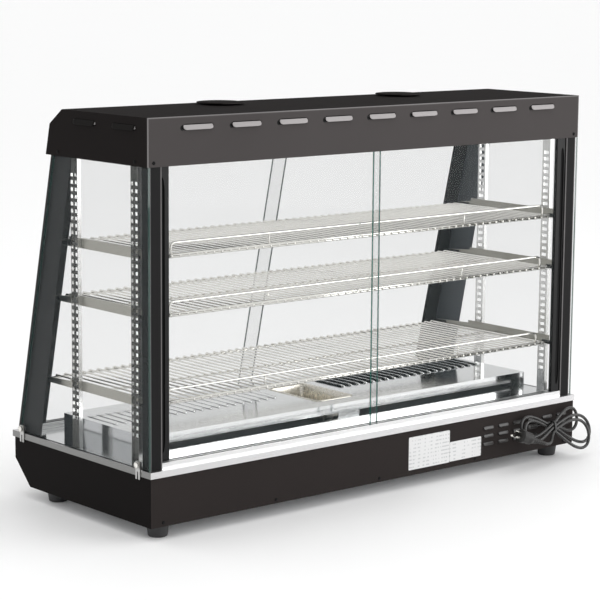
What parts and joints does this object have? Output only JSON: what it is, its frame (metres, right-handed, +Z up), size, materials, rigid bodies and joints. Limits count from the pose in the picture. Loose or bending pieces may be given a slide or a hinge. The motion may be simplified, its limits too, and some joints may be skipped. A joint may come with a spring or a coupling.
{
  "type": "food holding cabinet",
  "caption": "Heated glass display case with wire shelves, a water pan, sliding doors on both long sides, a slanted customer side and a vented hood on a low black base.",
  "frame": {"origin": "centre of the case on the surface that the feet stand on, cord and plug left out", "axes": "+Z up; +X across the width; -Y towards the slanted customer side; +Y towards the operator side"},
  "size_m": [1.2429, 0.569, 0.83],
  "materials": {
    "black_steel": "satin black powder coat",
    "bright_steel": "polished stainless steel",
    "chrome_wire": "bright chrome plating",
    "zinc_steel": "plain zinc-coated sheet",
    "aluminium_track": "bright anodised aluminium",
    "clear_glass": "clear toughened glass with green edges",
    "black_plastic": "matte black moulding",
    "black_gloss": "gloss black moulding",
    "red_gloss": "translucent red rocker",
    "white_ceramic": "white ceramic",
    "lamp_glass": "frosted lamp tube",
    "black_rubber": "black rubber"
  },
  "bodies": {
    "cabinet": {"base_shell": "black_steel", "base_bottom_plate": "zinc_steel", "deck_trim": "bright_steel", "deck_plate": "bright_steel", "heater_cover": "bright_steel", "heating_element_left": "zinc_steel", "heating_element_right": "zinc_steel", "heat_shield": "zinc_steel", "thermostat_body": "zinc_steel", "thermometer": "bright_steel", "heat_switch_housing": "black_gloss", "light_switch_housing": "black_gloss", "terminal_block": "white_ceramic", "front_pillar_left": "black_steel", "front_pillar_right": "black_steel", "rear_pillar_left": "black_steel", "rear_pillar_right": "black_steel", "side_glass_left": "clear_glass", "side_glass_right": "clear_glass", "glass_clips": "chrome_wire", "thumb_screws": "chrome_wire", "pilaster_front_left": "chrome_wire", "pilaster_front_right": "chrome_wire", "pilaster_rear_left": "chrome_wire", "pilaster_rear_right": "chrome_wire", "shelf_brackets_top": "chrome_wire", "shelf_brackets_middle": "chrome_wire", "shelf_brackets_bottom": "chrome_wire", "bracket_end_caps": "black_plastic", "hood_shell": "black_steel", "hood_ceiling": "zinc_steel", "lamp_holders": "white_ceramic", "lamps": "lamp_glass", "roof_vent_caps": "black_steel", "rear_track_bottom": "aluminium_track", "rear_track_top": "aluminium_track", "front_track_bottom": "aluminium_track", "front_track_top": "aluminium_track", "feet": "black_rubber", "cord_gland": "black_rubber", "cord_lead": "black_rubber", "cord_hank": "black_rubber", "cord_tail": "black_rubber", "cord_tie": "black_plastic", "mains_plug": "black_plastic"},
    "rear_sliding_door_left": {"rear_door_left": "clear_glass", "rear_stile_left": "black_plastic"},
    "rear_sliding_door_right": {"rear_door_right": "clear_glass", "rear_stile_right": "black_plastic"},
    "front_sliding_door_left": {"front_door_left": "clear_glass", "front_grip_left": "black_plastic"},
    "front_sliding_door_right": {"front_door_right": "clear_glass", "front_grip_right": "black_plastic"},
    "thermostat_dial": {"thermostat_knob": "black_plastic"},
    "heat_rocker": {"heat_switch_rocker": "red_gloss"},
    "light_rocker": {"light_switch_rocker": "red_gloss"},
    "lift_out_pan": {"water_pan": "bright_steel"},
    "top_wire_shelf": {"shelf_top": "chrome_wire"},
    "middle_wire_shelf": {"shelf_middle": "chrome_wire"},
    "bottom_wire_shelf": {"shelf_bottom": "chrome_wire"}
  },
  "joints": [
    {"name": "rear_door_left_slide", "type": "slide", "parent": "cabinet", "child": "rear_sliding_door_left", "axis": [1, 0, 0], "range_m": [0, 0.545]},
    {"name": "rear_door_right_slide", "type": "slide", "parent": "cabinet", "child": "rear_sliding_door_right", "axis": [-1, 0, 0], "range_m": [0, 0.545]},
    {"name": "front_door_left_slide", "type": "slide", "parent": "cabinet", "child": "front_sliding_door_left", "axis": [1, 0, 0], "range_m": [0, 0.545]},
    {"name": "front_door_right_slide", "type": "slide", "parent": "cabinet", "child": "front_sliding_door_right", "axis": [-1, 0, 0], "range_m": [0, 0.545]},
    {"name": "thermostat_turn", "type": "hinge", "parent": "cabinet", "child": "thermostat_dial", "pos_m": [0.51, -0.232, 0.1045], "axis": [0, -1, 0], "range_deg": [0, 300]},
    {"name": "heat_switch_tip", "type": "hinge", "parent": "cabinet", "child": "heat_rocker", "pos_m": [0.445, -0.23, 0.1045], "axis": [1, 0, 0], "range_deg": [0, 16]},
    {"name": "light_switch_tip", "type": "hinge", "parent": "cabinet", "child": "light_rocker", "pos_m": [0.4, -0.23, 0.1045], "axis": [1, 0, 0], "range_deg": [0, 16]},
    {"name": "water_pan_lift", "type": "slide", "parent": "cabinet", "child": "lift_out_pan", "axis": [0, 0, 1], "range_m": [0, 0.06]},
    {"name": "top_shelf_lift", "type": "slide", "parent": "cabinet", "child": "top_wire_shelf", "axis": [0, 0, 1], "range_m": [0, 0.03]},
    {"name": "middle_shelf_lift", "type": "slide", "parent": "cabinet", "child": "middle_wire_shelf", "axis": [0, 0, 1], "range_m": [0, 0.03]},
    {"name": "bottom_shelf_lift", "type": "slide", "parent": "cabinet", "child": "bottom_wire_shelf", "axis": [0, 0, 1], "range_m": [0, 0.03]}
  ]
}
